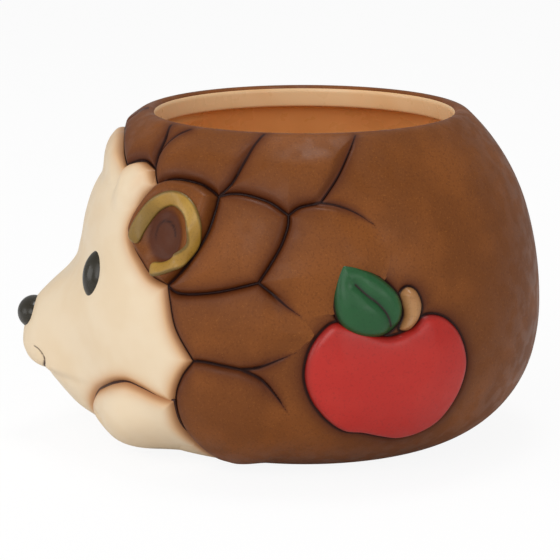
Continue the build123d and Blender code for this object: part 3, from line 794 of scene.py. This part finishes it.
def make_gold_bead(nudge=0.5):
    """Flat rounded bead along the ear's roll, rounded at both ends, darker at its sides and ends, and
    with painted shade on its arm towards the face.
    """
    curve = curve_through(gold_knots, gold_step)
    azimuth, elevation = curve[:, 0], curve[:, 1]
    centre = on_ear(azimuth, elevation)
    normal = np.cross(on_ear(azimuth + nudge, elevation) - on_ear(azimuth - nudge, elevation),
                      on_ear(azimuth, elevation + nudge) - on_ear(azimuth, elevation - nudge))
    normal /= np.linalg.norm(normal, axis=1)[:, None]
    across = np.cross(np.gradient(centre, axis=0), normal)
    across /= np.linalg.norm(across, axis=1)[:, None]
    along = np.concatenate([[0], np.cumsum(np.linalg.norm(np.diff(centre, axis=0), axis=1))])
    ends = np.clip(np.minimum(along, along[-1] - along) / gold_half_width, 0, 1)
    fullness = np.sqrt(1 - (1 - ends) ** 2)[:, None]
    angles = np.linspace(0, 2 * np.pi, gold_sides, endpoint=False)
    rings = [centre + fullness * (across * gold_half_width * cos(angle) + normal * gold_rise
                                  * np.sign(sin(angle)) * abs(sin(angle)) ** gold_power)
             for angle in angles]
    points = np.stack(rings, axis=1).reshape(-1, 3)
    side = np.tile(np.abs(np.cos(angles)), len(curve))
    ending = np.repeat(1 - ends, gold_sides)
    # Painted shade on the arm towards the face
    front = np.repeat(smooth((gold_front_azimuth - azimuth) / gold_front_over), gold_sides)
    airbrush = np.maximum(gold_side_dark * smooth(side, gold_side_from, 1 - gold_side_from),
                          gold_end_dark * ending ** gold_end_power)
    airbrush = np.maximum(airbrush, gold_front_painted_shade * front)
    return (points, grid_faces(len(curve), gold_sides, True),
            {"groove": np.zeros(len(points)), "airbrush": airbrush})


def make_ears():
    add_pair("ear", spread_mesh(ear_outline, ear_centre, ear_height), coat_glaze)
    add_pair("ear_rim", make_gold_bead(), gold_glaze)


# Face

# Profile of the face in its middle, from the chin up: height, and reach in front of the axis
face_profile = [(0, 68), (5, 79), (9.7, 87.2), (14.9, 95.1), (20, 100), (25.2, 104.5), (28.5, 107.6),
                (31.5, 113), (36, 116), (43, 116.4), (50, 114.6), (58, 110.3), (63.5, 104.8),
                (68.6, 98.9), (73.6, 94.9), (82.5, 92.1), (93.8, 89.9), (103.9, 86.5),
                (111.4, 82.3), (118, 79.2), (128, 72)]
# Half width of the snout at a height, as an angle
snout_spread = [(0, 26), (14.9, 24), (22, 20), (31.5, 15.5), (40, 14), (50, 15), (60, 18),
                (68, 24), (80, 33), (90, 36), (128, 36)]
face_top = 128.0
cheek_rise = 1.3
face_columns = np.arange(-63, 63.01, 0.3)
face_rows = np.arange(1.5, 126, 0.36)
face_outline = outline_of(face_seams)
face_search = (30.0, 150.0)
face_search_count = 18

# The brown side of the face's seam: corners that close it, and the elevation of the parting
coat_corners = [(60.5, -60), (190, -60), (190, 60), (-1, 60), (-1, 44.6)]
parting_elevation = 44.5

# The skin sinks at its seam, and further where the coat covers it
rim_dent = (2.4, 1.3, 1.5)
rim_groove = 0.6
rim_spray = (0.95, 5.0, 1.2)
buried_dip = 2.4
buried_over = 2.5

# The mouth is a line that is deep below a height, in a soft furrow
mouth_knots = [(-3.2, 28.4), (0, 27.8), (3.2, 28.4), (6.4, 30.2), (8.7, 33), (9.2, 36), (8.3, 38.7),
               (6.9, 39.7)]
mouth_step = 0.3
mouth_top = 40.5
mouth_over = 5.0
mouth_depths = (0.4, 1.1)
mouth_width = 0.6
furrow = (0.7, 2.0)
mouth_paints = (0.7, 0.3)
mouth_paint_widths = (0.5, 0.35)
line_paint_power = 4

# Crease between the face and a paw
crease_knots = [(18, -27), (21, -21.6), (26.4, -17.2), (32.6, -14.3), (37.8, -12.3), (42.6, -11.4),
                (47.3, -12.2)]
face_crease = curve_through(crease_knots + [(51.4, -13.7), (56.5, -15.2)])
crease_dent = (1.0, 1.6)
crease_spray = (0.85, 4.5, 1.3)


def smooth_table(rows, at):
    """Smooth curve through the rows of a table."""
    rows = np.array(rows, float)
    x, y = rows[:, 0], rows[:, 1]
    slope = np.gradient(y, x)
    index = np.clip(np.searchsorted(x, at) - 1, 0, len(x) - 2)
    width = x[index + 1] - x[index]
    t = (at - x[index]) / width
    return ((2 * t ** 3 - 3 * t ** 2 + 1) * y[index] + (t ** 3 - 2 * t ** 2 + t) * width * slope[index]
            + (3 * t ** 2 - 2 * t ** 3) * y[index + 1] + (t ** 3 - t ** 2) * width * slope[index + 1])


def face_radius(azimuth, height):
    """Distance of the face's skin from the axis of the mouth."""
    base = coat_radius(height) + cheek_rise
    reach = smooth_table(face_profile, height)
    return base + (reach - base) * falloff(azimuth, smooth_table(snout_spread, height))


def face_point(azimuth, height):
    """Points on the face at a height."""
    return turned(azimuth, face_radius(azimuth, height), height)


def face_reach(azimuth, elevation):
    """Distance of the face's skin from the middle of the belly, in a direction."""
    up = np.radians(elevation)
    short, long = (np.full(np.shape(elevation), reach) for reach in face_search)
    for _ in range(face_search_count):
        reach = (short + long) / 2
        height = np.clip(belly_height + reach * np.sin(up), 0, face_top)
        out = reach * np.cos(up) > face_radius(azimuth, height)
        long = np.where(out, reach, long)
        short = np.where(out, short, reach)
    return (short + long) / 2


def face_place(azimuth, elevation, height=0.0):
    """Points over the face, a height above it."""
    tilt = np.interp(elevation, row_elevation, outer_rows[:, 2])
    skin = direction(azimuth, elevation) * face_reach(azimuth, elevation)[..., None]
    normal = direction(azimuth, np.degrees(tilt))
    return skin + belly_middle + normal * np.asarray(height)[..., None]


def in_coat(azimuth, elevation):
    """Which places lie on the brown side of the face's seam."""
    border = face_outline[face_outline[:, 1] < parting_elevation]
    polygon = np.concatenate([border[:, :2], coat_corners])
    return inside(np.stack([np.abs(azimuth), elevation], axis=-1), polygon)


def seam_gap(azimuth, elevation, rows):
    """Distance over the coat to a seam on either side of the face."""
    return nearest(coat_point(np.abs(azimuth), elevation), coat_point(rows[:, 0], rows[:, 1]))


def make_head():
    azimuth, height = (grid.ravel() for grid in np.meshgrid(face_columns, face_rows))
    points = face_point(azimuth, height)
    seen = place_of(points - belly_middle)
    covered = in_coat(*seen)
    gap = seam_gap(*seen, face_outline)
    crease_gap = seam_gap(*seen, face_crease)
    folded = np.column_stack([np.abs(points[:, 0]), points[:, 1:]])
    mouth_gap = nearest(folded, face_point(*curve_through(mouth_knots, mouth_step, face_point).T))
    deep = smooth((mouth_top - height) / mouth_over)

    def deepened(values):
        return values[0] + values[1] * deep

    buried = rim_dent[0] + buried_dip * smooth(gap, 0, buried_over)
    dip = np.where(covered, buried, fading(gap, *rim_dent))
    dip = dip + fading(mouth_gap, deepened(mouth_depths), mouth_width)
    dip = dip + deep * fading(mouth_gap, *furrow) + fading(crease_gap, *crease_dent)
    mouth_paint = fading(mouth_gap, deepened(mouth_paints), deepened(mouth_paint_widths),
                         line_paint_power)
    attributes = {
        "groove": np.maximum(np.where(covered, 1, falloff(gap, rim_groove)), mouth_paint),
        "airbrush": np.maximum(np.where(covered, 1, fading(gap, *rim_spray)),
                               fading(crease_gap, *crease_spray)),
    }
    outward = points * [1, 1, 0] / np.linalg.norm(points[:, :2], axis=1)[:, None]
    shape = (points - outward * dip[:, None], grid_faces(len(face_rows), len(face_columns)), attributes)
    add_mesh("head_glazed", shape, cream_glaze, ["head"])


# Forelocks

seams.update({
    "lock_crease": (1, 0.15, [(28.6, 37.8), (27.4, 34.6), (25.5, 31.5)]),
    "lock_fade": (0, 0, [(25.5, 31.5), (27.5, 28.5), (33, 26.5), (40, 28.5), (44.2, 31.6),
                         (46.0, 35.0)]),
    "centre_fade": (0.1, 0, [(25.5, 31.5), (22, 30), (13, 29.5), (0, 29.5)]),
})
half_centre_outline = outline_of(["brow_hem", "lock_crease", "centre_fade"])
centre_lock_outline = np.concatenate([half_centre_outline, half_centre_outline[::-1] * [-1, 1, 1]])
side_lock_outline = outline_of(["brow_lock", "-crown_lock", "-lock_fade", "-lock_crease"])
lock_edge = (2.0, 1.5)
lock_sink = 0.04
lock_rim_dent = (2.5, 1.4, 1.5)
lock_groove = 0.65
lock_spray = (0.8, 2.6, 1.2)
lock_spray_fade = 9.0
warm_over = 12.0
warm_share = 0.5


def lock(outline, rise, fade_step, warm_axis, warm_from):
    """Height of a forelock over the face: full at its top edge, running out below. Its colour
    is warmer past an azimuth, where the axis is 0, or past an elevation, where it is 1."""
    def height_at(azimuth, elevation):
        real, fade = edge_distances(outline, azimuth, elevation)
        gap = seam_gap(azimuth, elevation, face_outline)
        present = smooth(fade, *fade_step)
        height = present * (-groove_depth + swell(real, rise + groove_depth, *lock_edge))
        height = height - lock_sink - fading(gap, *lock_rim_dent) * (1 - present)
        warm = warm_share * smooth((np.abs(azimuth), elevation)[warm_axis], warm_from, warm_over)
        airbrush = np.maximum(fading(real, *lock_spray), warm) * smooth(fade, 0, lock_spray_fade)
        return height, {"groove": falloff(real, lock_groove),
                        "airbrush": np.maximum(airbrush, fading(gap, *rim_spray))}
    return height_at


def make_forelocks():
    centre = lock(centre_lock_outline, rise=3.8, fade_step=(4, 16), warm_axis=1, warm_from=33)
    side = lock(side_lock_outline, rise=3.2, fade_step=(0, 11), warm_axis=0, warm_from=32)
    add_mesh("tuft_centre_glazed", spread_mesh(centre_lock_outline, (0, 38), centre, face_place),
             cream_glaze, ["tuft_centre"])
    add_pair("tuft", spread_mesh(side_lock_outline, (36, 34.5), side, face_place),
             cream_glaze)


# Paws

seams.update({
    "paw_under": (0, 0, [(60.5, -44), (54, -46.5), (45, -49), (34, -51), (20, -51), (10, -50)]),
    "paw_inner": (1, 1, [(10, -50), (11, -42), (14, -33), (18, -27)]),
    "paw_crease": (1, 1, crease_knots + [(52, -13.4), (57, -14)]),
    "paw_rear": (1, 1, [(57, -14), (56.6, -22), (58.3, -31), (60.5, -44)]),
})
paw_outline = outline_of(["paw_rear", "paw_under", "paw_inner", "paw_crease"])
paw_centre = (36, -28)
claw_lines = [[(26.2, -23.5), (25.4, -27.5), (24.2, -33), (23.0, -42)],
              [(18.0, -28), (17.2, -34), (16.5, -42)]]

# The foot is a rounded body with a middle, half widths across and along, and a half height
# above and below its middle. It blends into the face, and ends just above the ground.
paw_middle = (8.0, -55.0, 26.0)
paw_size = (62.0, 31.0)
paw_over_depth = 44.0
paw_under_depth = 27.0
paw_power = 3
paw_over_face = 2.4
paw_under_face = 1.5
paw_blend = 4.0
paw_clearance = 0.4
ground_blend = 2.0
sole_step = (20.0, 18.0)
paw_reaches = np.arange(128.0, 38.0, -1.0)

# Its edge is seated on the coat at the rear, and in the face elsewhere
paw_rear_over = 5.0
paw_in_face = 1.3
paw_edge = (1.8, 1.4)
paw_groove = 0.6
paw_groove_loss = 0.3
paw_spray = (0.95, 4.0, 1.2)
claw_step = 0.4
claw_dent = (1.0, 0.55)
toe_dent = (1.1, 2.6)
claw_paint_width = 0.45


def smooth_minimum(a, b, blend):
    """The lesser of two values, rounded where they are nearly alike."""
    share = np.clip(0.5 + (b - a) / blend / 2, 0, 1)
    return b + (a - b) * share - blend * share * (1 - share)


def paw_place(azimuth, elevation, height=0.0):
    """Points on a foot in front of the vessel and the face, flat on the ground, a height above it."""
    rays = direction(azimuth, elevation)
    spots = rays[..., None, :] * paw_reaches[:, None] + belly_middle
    x, y, z = (spots[..., axis] - paw_middle[axis] for axis in range(3))
    depth = np.where(z > 0, paw_over_depth, paw_under_depth)
    field = (((x / paw_size[0]) ** 2 + (z / depth) ** 2) ** (paw_power / 2)
             + np.abs(y / paw_size[1]) ** paw_power - 1)
    within = field < 0
    first = np.maximum(np.argmax(within, axis=-1), 1)[..., None]
    after = np.take_along_axis(field, first, axis=-1)[..., 0]
    before = np.take_along_axis(field, first - 1, axis=-1)[..., 0]
    foot = paw_reaches[first[..., 0] - 1] - np.clip(before / np.maximum(before - after, 1e-6), 0, 1)
    foot = np.where(within.any(axis=-1), foot, 0)
    low = smooth(-elevation, *sole_step)
    over_face = face_reach(azimuth, elevation) + paw_over_face * (1 - low) - paw_under_face * low
    reach = height - smooth_minimum(-foot, -over_face, paw_blend)
    ground = (belly_height - paw_clearance) / np.maximum(-rays[..., 2], 0.01)
    reach = smooth_minimum(reach, ground, ground_blend)
    return rays * reach[..., None] + belly_middle


def paw_height(azimuth, elevation):
    real = edge_distances(paw_outline, azimuth, elevation)[0]
    points = paw_place(azimuth, elevation)
    reach = np.linalg.norm(points - belly_middle, axis=-1)
    skin = np.interp(elevation, row_elevation, row_reach)
    seated = smooth(seam_gap(azimuth, elevation, seam_curve("paw_rear")), 0, paw_rear_over)
    edge = (skin - groove_depth) * (1 - seated) + (face_reach(azimuth, elevation) - paw_in_face) * seated
    height = -fading(real, reach - edge, *paw_edge)
    groove = falloff(real, paw_groove) * (1 - paw_groove_loss * seated)
    for knots in claw_lines:
        gap = nearest(points, paw_place(*curve_through(knots, claw_step).T))
        height = height - fading(gap, *claw_dent) - fading(gap, *toe_dent)
        groove = np.maximum(groove, falloff(gap, claw_paint_width, line_paint_power))
    return height, {"groove": groove, "airbrush": fading(real, *paw_spray)}


def make_paws():
    shape = spread_mesh(paw_outline, paw_centre, paw_height, paw_place)
    add_pair("paw", shape, cream_glaze)


# Vessel with its coat

# The coat sinks below a piece, from its edge inwards, but not where the piece fades out. It
# sinks below the face from a level upwards, and the relief ends below the lip.
search_margin = 12.0
sunk_step = (0.4, 1.6)
faded_step = (2.5, 3.0)
face_sunk_step = (1.5, 6.0)
lip_clear = 1.5
lip_clear_over = 4.0

# The inside has fine rows at the lip, a collar with a bevel, and coarse rows below
rounding_step = 0.4
inner_step = 2.2
collar_start = 0.5
collar_row_count = 9
collar_bevel = [(0.6, 0.3), (3.0, 0.8)]
collar_paint_reach = 0.6
ledge_depth = 1.5
ledge_spread = 2.0
floor_row_count = 12
floor_margin = 4.0
centre_radius = 0.5

# The foot ring is rounded at the recess inside it, and bevelled on the ground
recess_middle_share = 0.6
ring_round = (0.6, 0.5)
ring_bevel = (0.5, 0.4)
ring_flat_end = 2.0


def coat_field(azimuth, elevation):
    """Height of the coat between the pieces, sunk below them, and how near it is to an edge."""
    height, groove, airbrush = np.zeros((3, len(azimuth)))
    folded = np.abs(azimuth)
    jobs = [(outline, folded, plates[name][1]) for name, outline in plate_outlines.items()]
    jobs.append((ear_outline, folded, ear_centre))
    jobs += [(outline, azimuth, centre) for outline, centre, *_ in relief.values()]
    for outline, around, centre in jobs:
        low = outline[:, :2].min(axis=0) - search_margin
        high = outline[:, :2].max(axis=0) + search_margin
        near = np.flatnonzero((around > low[0]) & (around < high[0])
                              & (elevation > low[1]) & (elevation < high[1]))
        real, fade = edge_distances(outline, around[near], elevation[near])
        chart = Chart(*centre)
        within = inside(chart.flat(around[near], elevation[near]),
                        chart.flat(outline[:, 0], outline[:, 1]))
        sunk = -under_piece * smooth(np.minimum(real, fade), *sunk_step) * smooth(fade, *faded_step)
        paint = edge_paint(real)
        dip = -groove_depth * paint["groove"]
        height[near] = np.minimum(height[near], np.where(within, np.minimum(sunk, dip), dip))
        groove[near] = np.maximum(groove[near], paint["groove"])
        airbrush[near] = np.maximum(airbrush[near], paint["airbrush"])
    level = coat_point(azimuth, elevation)[:, 2]
    below_face = -under_face * smooth(level, *face_sunk_step)
    return np.where(in_coat(azimuth, elevation), height, below_face), groove, airbrush


def flattened(azimuth, radius, height):
    """Inner radius, held back where the wall follows the seat of the head."""
    grow = seat_depth + seat_grow
    towards = -np.cos(np.radians(azimuth)) * grow
    front = towards + np.sqrt(towards ** 2 - grow ** 2 + (radius + seat_grow) ** 2)
    here = (height > floor_thickness) & (height < seat_top + wall) & (radius > grow)
    return np.where(here, np.minimum(radius, front), radius)


def foot_rows():
    """Rows of the base, from its middle to the outside of the foot ring."""
    ring = foot_radius - foot_ring_width
    return np.array([
        (centre_radius, foot_recess, 0), (ring * recess_middle_share, foot_recess, 0),
        (ring - ring_round[0], foot_recess, 0), (ring, foot_recess - ring_round[1], 0),
        (ring, ring_bevel[1], 0), (ring + ring_bevel[0], 0, 0), (foot_radius - ring_flat_end, 0, 0)])


def inner_rows(rounding):
    """Rows of the inside, from the rounding of the lip to the middle of the floor."""
    inner_angle = degrees(asin((collar_height - shoulder_arc[0][1]) / (shoulder_radius - wall)))
    floor_angle = -degrees(asin(min(1, (base_arc[0][1] - floor_thickness) / (corner_radius - wall))))
    collar_top = pot_height - lip_inner_radius - collar_start
    arcs = [(shoulder_arc, inner_angle - 1, shoulder_start_angle), (flank_arc, shoulder_start_angle, 0),
            (lower_arc, 0, -corner_start_angle), (base_arc, -corner_start_angle, floor_angle)]
    below = [arc_points(arc, first, last, wall, inner_step) for arc, first, last in arcs]
    return np.concatenate([
        rounding,
        [(mouth_radius, height, 0)
         for height in np.linspace(collar_top, collar_height, collar_row_count)],
        [(mouth_radius + out, collar_height - down, 0) for out, down in collar_bevel],
        below[0],
        *[rows[1:] for rows in below[1:]],
        [(radius, floor_thickness, 0)
         for radius in np.linspace(base_arc[0][0] - floor_margin, centre_radius, floor_row_count)]])


def revolved(section, columns, fitted=False):
    """Rows revolved about the axis, and fitted to the seat of the head if asked."""
    azimuth = np.tile(columns, len(section))
    radius = np.repeat(section[:, 0], len(columns))
    level = np.repeat(section[:, 1], len(columns))
    if fitted:
        radius = flattened(azimuth, radius, level)
    return turned(azimuth, radius, level)


def make_vessel():
    columns = np.concatenate([
        np.arange(-rear_start_angle, rear_start_angle, column_angle),
        np.arange(rear_start_angle, 360 - rear_start_angle, rear_column_angle)])
    rounding = arc_points(rounding_arc, 90, 180, 0, rounding_step)[1:]
    below = foot_rows()
    inner = inner_rows(rounding)
    azimuth = (np.tile(columns, len(outer_rows)) + 180) % 360 - 180
    elevation = np.repeat(row_elevation, len(columns))
    height, groove, airbrush = coat_field(azimuth, elevation)
    kept = smooth((pot_height - lip_clear - outer_rows[:, 1]) / lip_clear_over)
    outer = coat_point(azimuth, elevation, height * np.repeat(kept, len(columns)))
    points = np.concatenate([revolved(below, columns), outer, revolved(inner, columns, True)])
    faces = grid_faces(len(below) + len(outer_rows) + len(inner), len(columns), True)
    before = np.zeros(len(below) * len(columns))
    beside = np.zeros(len(outer))
    after = np.zeros(len(inner) * len(columns))
    # The inside is painted paler on the collar, partly as painted light, and with painted shade at the
    # ledge below it
    level = np.repeat(inner[:, 1], len(columns)) - collar_height
    ledge = falloff(np.abs(level + ledge_depth), ledge_spread, 1)
    attributes = {
        "groove": np.concatenate([before, groove, after]),
        "airbrush": np.concatenate([before, airbrush, after]),
        "collar": np.concatenate([before, beside, level > -collar_paint_reach]),
        "ledge": np.concatenate([before, beside, ledge]),
    }
    piece = add_mesh("vessel_glazed", (points, faces, attributes), coat_glaze,
                     ["pot_shell"])
    piece.data.materials.append(inside_glaze)
    piece.data.materials.append(foot_clay)
    glazed_inside = len(below) + len(outer_rows) + len(rounding) // 2
    indices = np.zeros(len(faces), np.int32)
    indices[glazed_inside * len(columns):] = 1
    indices[:len(before)] = 2
    piece.data.polygons.foreach_set("material_index", indices)


# Studio, with places, sizes and a camera in metres

floor_half = 4.0
floor_grey = 0.86
floor_roughness = 0.9
floor_glow = 1.03
floor_glow_share = 0.88
ambient_strength = 0.4
white = (1, 1, 1, 1)
light_target = (0, 0, 0.06)

# Place, width and height, and power of each light
lights = {
    "key": ((1.5, -0.7, 0.95), (1.2, 1.2), 12),
    "fill": ((1.4, 1.0, 0.6), (1.2, 0.9), 5),
    "front": ((0.3, -1.6, 0.5), (1.0, 0.8), 5.2),
    "top": ((-0.1, 0.1, 1.6), (0.5, 0.5), 6),
}
camera_aside = 0.00996
camera_y = axis_y - camera_aside
camera_place = (1.27145, camera_y, 0.33530)
camera_target = (0, camera_y, 0.06435)
sensor_millimetres = 36
lens_millimetres = 201.9
camera_clip = (0.05, 20)


def mix_for_camera(tree, plain, seen, share, output):
    """Shows the camera a share of one shader, and all else the other."""
    path = tree.nodes.new("ShaderNodeLightPath")
    factor = tree.nodes.new("ShaderNodeMath")
    factor.operation = "MULTIPLY"
    factor.inputs[1].default_value = share
    mix = tree.nodes.new("ShaderNodeMixShader")
    tree.links.new(path.outputs["Is Camera Ray"], factor.inputs[0])
    tree.links.new(factor.outputs[0], mix.inputs["Fac"])
    tree.links.new(plain.outputs[0], mix.inputs[1])
    tree.links.new(seen.outputs[0], mix.inputs[2])
    tree.links.new(mix.outputs["Shader"], output.inputs["Surface"])


def make_floor():
    """White floor that takes the shadow, and glows for the camera alone."""
    mesh = bpy.data.meshes.new("floor")
    corners = [(-floor_half, -floor_half, 0), (floor_half, -floor_half, 0),
               (floor_half, floor_half, 0), (-floor_half, floor_half, 0)]
    mesh.from_pydata(corners, [], [(0, 1, 2, 3)])
    floor = bpy.data.objects.new("floor", mesh)
    bpy.context.collection.objects.link(floor)
    material = bpy.data.materials.new("floor_white")
    material.use_nodes = True
    nodes = material.node_tree.nodes
    shader = nodes["Principled BSDF"]
    shader.inputs["Base Color"].default_value = (floor_grey, floor_grey, floor_grey, 1)
    shader.inputs["Roughness"].default_value = floor_roughness
    glow = nodes.new("ShaderNodeEmission")
    glow.inputs["Color"].default_value = white
    glow.inputs["Strength"].default_value = floor_glow
    mix_for_camera(material.node_tree, shader, glow, floor_glow_share, nodes["Material Output"])
    mesh.materials.append(material)


def make_world():
    """Soft light from all round, and a white background for the camera."""
    world = bpy.data.worlds.new("studio")
    bpy.context.scene.world = world
    world.use_nodes = True
    nodes = world.node_tree.nodes
    ambient = nodes["Background"]
    ambient.inputs["Color"].default_value = white
    ambient.inputs["Strength"].default_value = ambient_strength
    backdrop = nodes.new("ShaderNodeBackground")
    backdrop.inputs["Color"].default_value = white
    mix_for_camera(world.node_tree, ambient, backdrop, 1, nodes["World Output"])


def aim(item, place, target):
    """Puts a light or the camera at a place, turned to a target."""
    item.location = place
    item.rotation_euler = (Vector(target) - Vector(place)).to_track_quat("-Z", "Y").to_euler()
    bpy.context.collection.objects.link(item)


def make_lights():
    for name, (place, size, power) in lights.items():
        lamp = bpy.data.lights.new(name, "AREA")
        lamp.shape = "RECTANGLE"
        lamp.size, lamp.size_y = size
        lamp.energy = power
        aim(bpy.data.objects.new(name, lamp), place, light_target)


def make_camera():
    camera = bpy.data.cameras.new("camera")
    camera.sensor_width = sensor_millimetres
    camera.lens = lens_millimetres
    camera.clip_start, camera.clip_end = camera_clip
    holder = bpy.data.objects.new("camera", camera)
    aim(holder, camera_place, camera_target)
    bpy.context.scene.camera = holder


make_plates()
make_relief()
make_ears()
make_head()
make_forelocks()
make_paws()
make_vessel()
for node in ("nose", "eye_left", "eye_right"):
    frame["nodes"][node].data.materials.clear()
    frame["nodes"][node].data.materials.append(black_glaze)
make_floor()
make_world()
make_lights()
make_camera()
bpy.context.scene.view_settings.view_transform = "Standard"
